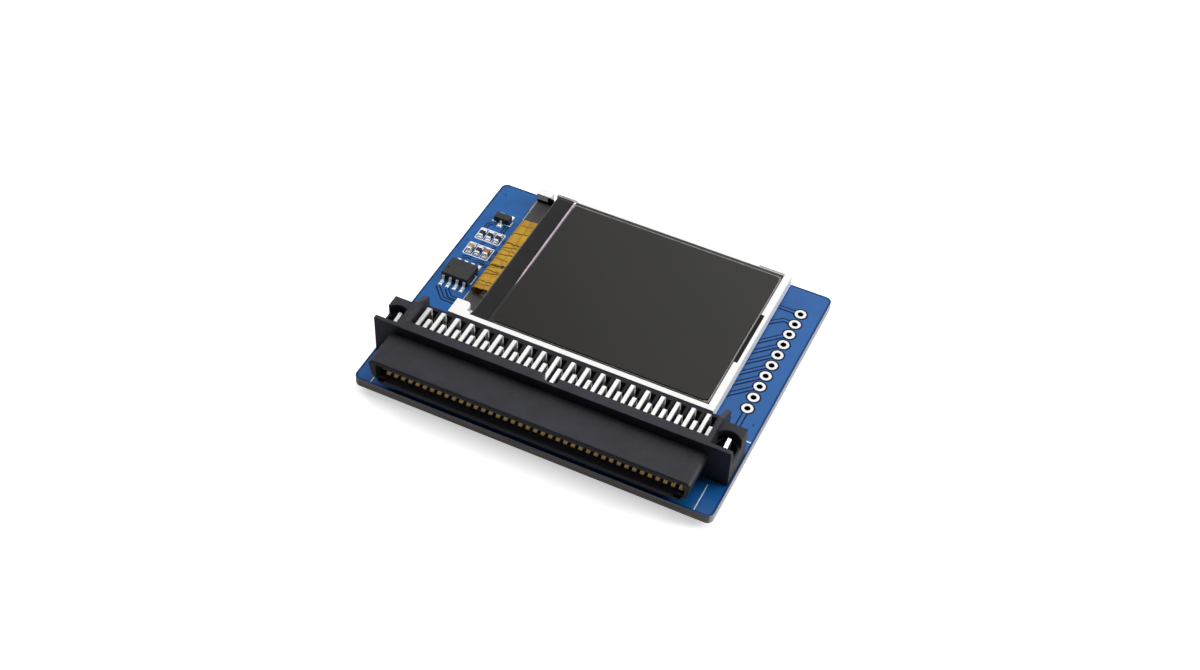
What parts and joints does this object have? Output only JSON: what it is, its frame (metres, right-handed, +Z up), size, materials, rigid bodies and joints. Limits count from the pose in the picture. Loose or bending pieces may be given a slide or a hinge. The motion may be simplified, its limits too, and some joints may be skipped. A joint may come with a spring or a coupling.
{
  "type": "tft display module",
  "caption": "TFT display module: flat colour panel in a white frame on a blue carrier board, with a black right-angle card-edge connector along the front and a row of plated header holes.",
  "frame": {"origin": "centre of the outline, at the level of the solder tails' tips", "axes": "X along the connector and across the display, Y from the connector's mouth to the display's back edge, Z up out of the board"},
  "size_m": [0.061, 0.051, 0.0102],
  "materials": {
    "pcb": "satin solder mask over glass-fibre board",
    "tin": "bright tin plating",
    "bright_metal": "bright plated spring metal",
    "solder": "dull solder",
    "gold": "gold plating",
    "black_plastic": "fine-grained black moulding",
    "guide_plastic": "fine-grained black moulding",
    "foam_tape": "soft adhesive pad",
    "white_plastic": "smooth white moulding",
    "white_film": "smooth white film",
    "clear_plastic": "clear acrylic",
    "clear_film": "clear ribbed film",
    "amber_film": "amber polyimide film",
    "lamp_resin": "pale yellow lamp resin",
    "grey_film": "grey polarizing film",
    "glass_dark": "dark display glass",
    "glass_clear": "dark display glass",
    "polarizer": "dark anti-glare film",
    "silicon": "polished dark chip",
    "black_tape": "thin black tape",
    "chip_resin": "moulded epoxy",
    "resistor_glaze": "dark glaze",
    "tan_ceramic": "fired ceramic",
    "orange_ceramic": "fired ceramic"
  },
  "bodies": {
    "root": {"circuit_board": "pcb", "header_plating": "tin", "surface_pads": "tin", "connector_housing": "black_plastic", "tail_guide": "guide_plastic", "upper_contacts_long": "tin", "upper_contacts_short": "tin", "lower_contacts_long": "gold", "lower_contacts_short": "gold", "board_lock_left": "bright_metal", "board_lock_right": "bright_metal", "solder_joints": "solder", "adhesive_pad": "foam_tape", "display_frame": "white_plastic", "reflector_sheet": "white_film", "light_guide": "clear_plastic", "diffuser_film": "white_film", "prism_film_lower": "clear_film", "prism_film_upper": "clear_film", "lamp_strip": "amber_film", "backlight_lamps": "lamp_resin", "rear_polarizer": "grey_film", "lower_glass": "glass_dark", "upper_glass": "glass_clear", "front_polarizer": "polarizer", "driver_chip": "silicon", "light_shield_tape": "black_tape", "flexible_tail": "amber_film", "memory_chip_body": "chip_resin", "memory_chip_leads": "tin", "transistor_body": "chip_resin", "transistor_leads": "tin", "resistor_bodies": "resistor_glaze", "resistor_terminals": "tin", "capacitor_tan": "tan_ceramic", "capacitor_orange": "orange_ceramic", "capacitor_terminals": "tin"}
  },
  "joints": []
}
